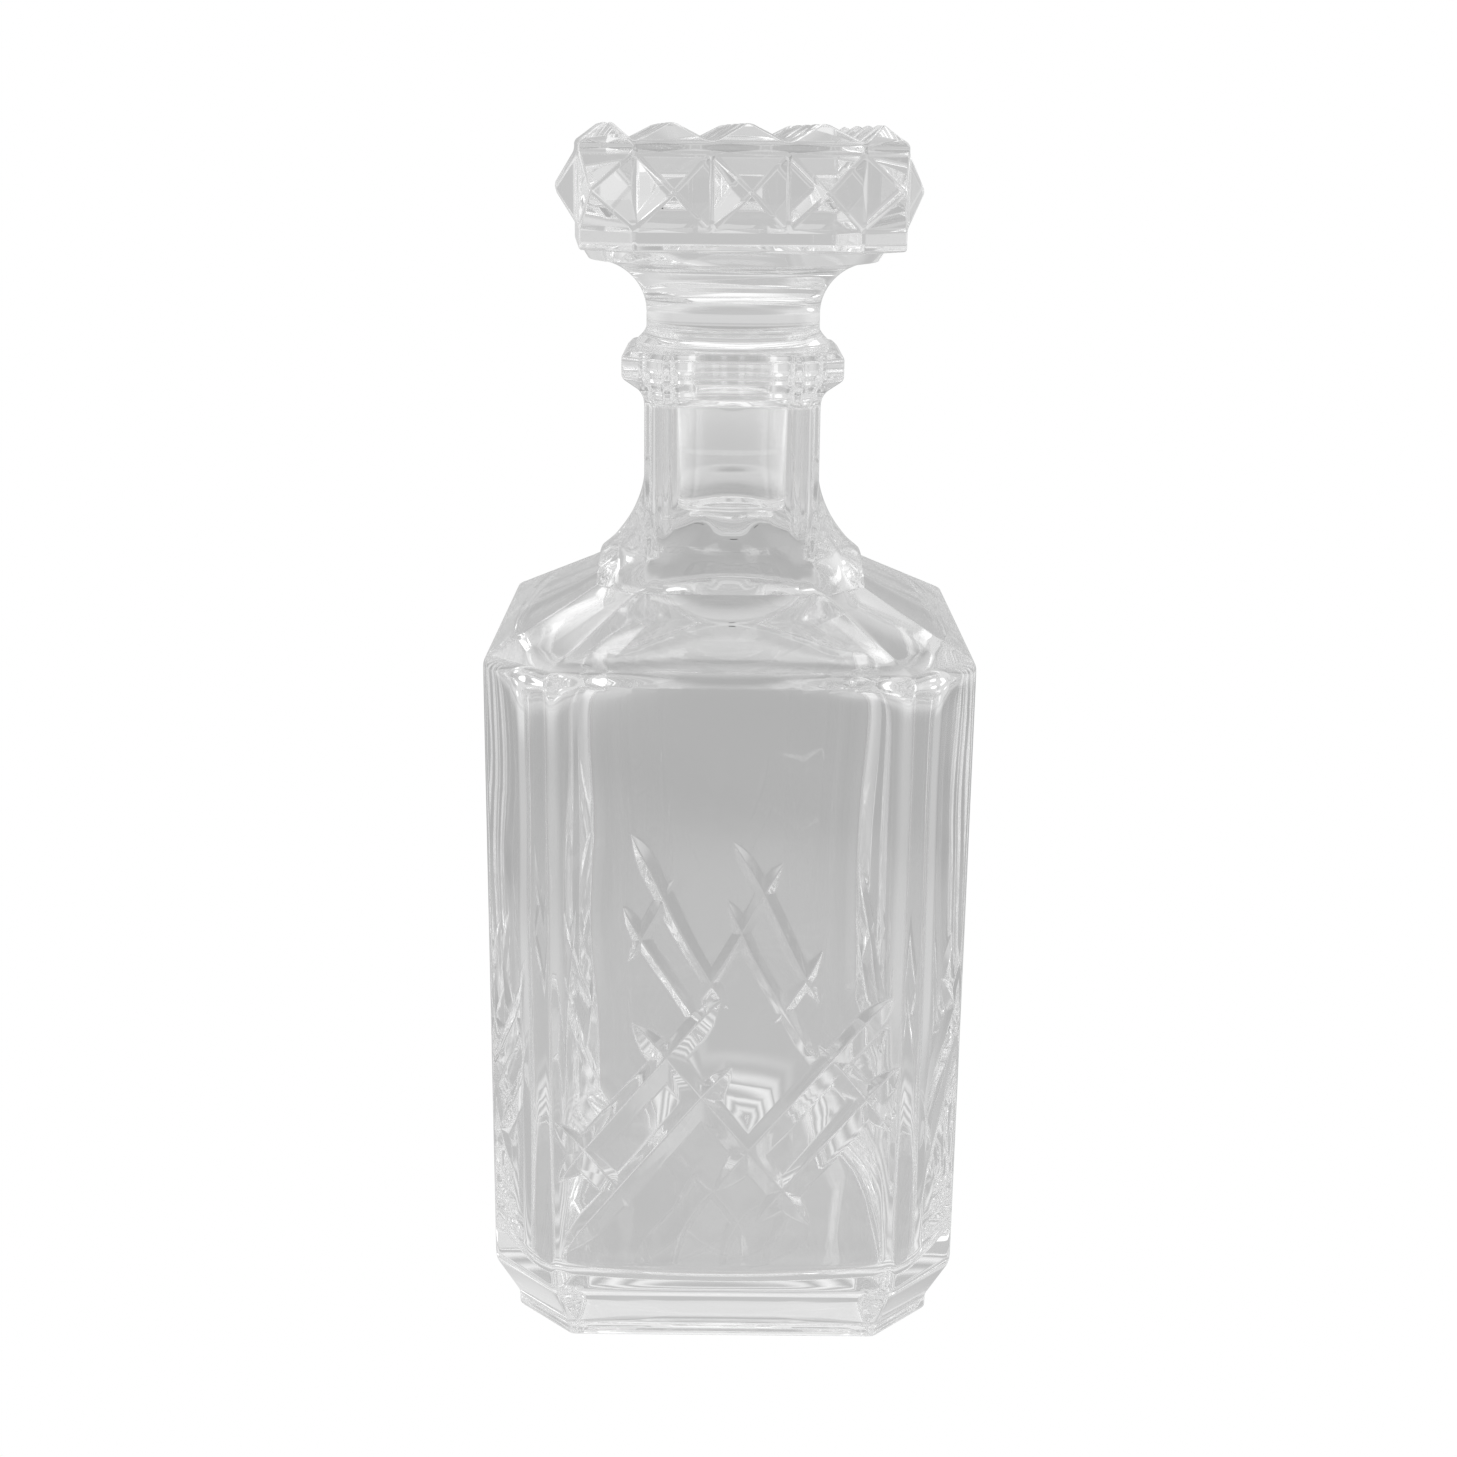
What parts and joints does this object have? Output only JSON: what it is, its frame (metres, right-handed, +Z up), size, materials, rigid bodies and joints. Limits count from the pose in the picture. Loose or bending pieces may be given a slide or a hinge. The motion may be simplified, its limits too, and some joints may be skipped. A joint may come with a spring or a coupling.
{
  "type": "decanter",
  "caption": "Square glass decanter with canted corners, a cut lattice low on each face, a collared neck and a lift-out diamond-point stopper.",
  "frame": {"origin": "middle of the foot, on the surface that the decanter stands on", "axes": "+Z up through the neck and stopper; +X and +Y square to the flat faces of the body, with the front face towards -Y"},
  "size_m": [0.09, 0.09, 0.2287],
  "materials": {
    "bottle_crystal": "clear colourless crystal, fire-polished, with polished wheel cuts",
    "stopper_crystal": "clear colourless crystal, fire-polished, solid"
  },
  "bodies": {
    "bottle": {"bottle": "bottle_crystal"},
    "stopper": {"stopper": "stopper_crystal"}
  },
  "joints": [
    {"name": "stopper_lift", "type": "slide", "parent": "bottle", "child": "stopper", "axis": [0, 0, 1], "range_m": [0, 0.05]}
  ]
}
